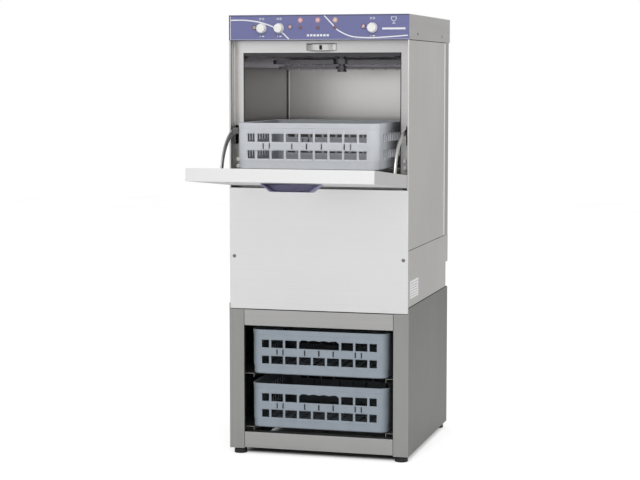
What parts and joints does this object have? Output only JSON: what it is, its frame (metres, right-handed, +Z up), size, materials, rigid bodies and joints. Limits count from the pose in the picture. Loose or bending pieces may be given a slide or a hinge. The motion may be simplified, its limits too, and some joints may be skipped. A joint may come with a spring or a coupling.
{
  "type": "glass washer machine",
  "caption": "Front-loading glass washer with a drop-down door, spray arms, control fascia and rack stand holding spare glass racks.",
  "frame": {"origin": "centre of the footprint of the machine with its door open, on the floor under the feet", "axes": "+Z up, front of the machine faces -Y, +X to the right of someone who sees it along +Y"},
  "size_m": [0.464, 0.8554, 1.108],
  "materials": {
    "steel": "satin brushed stainless sheet",
    "bright_steel": "bright fine-brushed stainless sheet",
    "stand_steel": "darker brushed stainless sheet",
    "fascia": "blue-violet printed panel, satin",
    "handle": "dark blue-violet moulded plastic",
    "rack": "blue-grey moulded polypropylene",
    "knob": "cream moulded plastic",
    "black_plastic": "black moulded plastic",
    "rubber": "black extruded rubber",
    "grey_plastic": "grey moulded plastic",
    "motor": "dark blue-grey enamel",
    "blue_plastic": "blue moulded plastic"
  },
  "bodies": {
    "cabinet": {"base_pan": "steel", "left_side_panel": "steel", "right_side_panel": "steel", "rear_panel": "steel", "top_cover": "steel", "front_frame": "steel", "catch_housing": "steel", "left_hinge_bracket": "steel", "right_hinge_bracket": "steel", "wash_chamber": "steel", "rack_support": "steel", "wash_tank": "steel", "tank_filter": "steel", "lower_spindle": "steel", "upper_feed_pipe": "steel", "boiler": "steel", "front_panel": "bright_steel", "stand_left_side": "stand_steel", "stand_right_side": "stand_steel", "stand_back_panel": "stand_steel", "stand_top_rail": "stand_steel", "stand_bottom_rail": "stand_steel", "stand_top_frame": "stand_steel", "lower_left_guide": "stand_steel", "lower_right_guide": "stand_steel", "upper_left_guide": "stand_steel", "upper_right_guide": "stand_steel", "tank_element": "stand_steel", "control_panel": "fascia", "foot_front_left": "black_plastic", "foot_front_right": "black_plastic", "foot_rear_left": "black_plastic", "foot_rear_right": "black_plastic", "cable_gland": "black_plastic", "switch_block": "black_plastic", "door_seal": "rubber", "overflow_pipe": "grey_plastic", "pump_housing": "grey_plastic", "drain_pipe": "grey_plastic", "electrics_board": "grey_plastic", "pump_motor": "motor", "fill_valve": "blue_plastic"},
    "door": {"door_outer_panel": "bright_steel", "door_inner_panel": "steel", "door_handle": "handle", "door_strike": "steel", "left_stay_arm": "steel", "right_stay_arm": "steel"},
    "wash_rack": {"wash_rack": "rack"},
    "upper_store_rack": {"upper_store_rack": "rack"},
    "lower_store_rack": {"lower_store_rack": "rack"},
    "lower_wash_arm": {"lower_wash_arm": "steel"},
    "lower_rinse_arm": {"lower_rinse_arm": "steel"},
    "upper_wash_arm": {"upper_wash_arm": "steel"},
    "upper_rinse_arm": {"upper_rinse_arm": "steel"},
    "knob_left": {"knob_left": "knob"},
    "knob_centre": {"knob_centre": "knob"},
    "knob_right": {"knob_right": "knob"},
    "door_switch_plunger": {"door_switch_plunger": "black_plastic"},
    "pump_impeller": {"pump_impeller": "grey_plastic"}
  },
  "joints": [
    {"name": "door_hinge", "type": "hinge", "parent": "cabinet", "child": "door", "pos_m": [0, -0.0773, 0.692], "axis": [-1, 0, 0], "range_deg": [0, 85.1]},
    {"name": "wash_rack_slide", "type": "slide", "parent": "cabinet", "child": "wash_rack", "axis": [0, 1, 0], "range_m": [0, 0.184]},
    {"name": "upper_store_rack_slide", "type": "slide", "parent": "cabinet", "child": "upper_store_rack", "axis": [0, 1, 0], "range_m": [-0.3, 0]},
    {"name": "lower_store_rack_slide", "type": "slide", "parent": "cabinet", "child": "lower_store_rack", "axis": [0, 1, 0], "range_m": [-0.3, 0]},
    {"name": "lower_wash_arm_spin", "type": "hinge", "parent": "cabinet", "child": "lower_wash_arm", "pos_m": [0, 0.1517, 0.699], "axis": [0, 0, 1], "continuous": true},
    {"name": "lower_rinse_arm_spin", "type": "hinge", "parent": "cabinet", "child": "lower_rinse_arm", "pos_m": [0, 0.1517, 0.711], "axis": [0, 0, 1], "continuous": true},
    {"name": "upper_wash_arm_spin", "type": "hinge", "parent": "cabinet", "child": "upper_wash_arm", "pos_m": [0, 0.1517, 0.995], "axis": [0, 0, 1], "continuous": true},
    {"name": "upper_rinse_arm_spin", "type": "hinge", "parent": "cabinet", "child": "upper_rinse_arm", "pos_m": [0, 0.1517, 0.979], "axis": [0, 0, 1], "continuous": true},
    {"name": "knob_left_turn", "type": "hinge", "parent": "cabinet", "child": "knob_left", "pos_m": [-0.1442, -0.0853, 1.075], "axis": [0, 1, 0], "range_deg": [0, 180]},
    {"name": "knob_centre_turn", "type": "hinge", "parent": "cabinet", "child": "knob_centre", "pos_m": [-0.0993, -0.0853, 1.075], "axis": [0, 1, 0], "range_deg": [0, 180]},
    {"name": "knob_right_turn", "type": "hinge", "parent": "cabinet", "child": "knob_right", "pos_m": [0.1381, -0.0853, 1.075], "axis": [0, 1, 0], "range_deg": [0, 180]},
    {"name": "door_switch_press", "type": "slide", "parent": "cabinet", "child": "door_switch_plunger", "axis": [0, 1, 0], "range_m": [0, 0.004], "stiffness_N_per_m": 300},
    {"name": "pump_impeller_spin", "type": "hinge", "parent": "cabinet", "child": "pump_impeller", "pos_m": [0, 0.0647, 0.45], "axis": [1, 0, 0], "continuous": true}
  ],
  "couplings": [
    {"joint": "wash_rack_slide", "follows": "door_hinge", "m_per_rad": 0.1238}
  ]
}
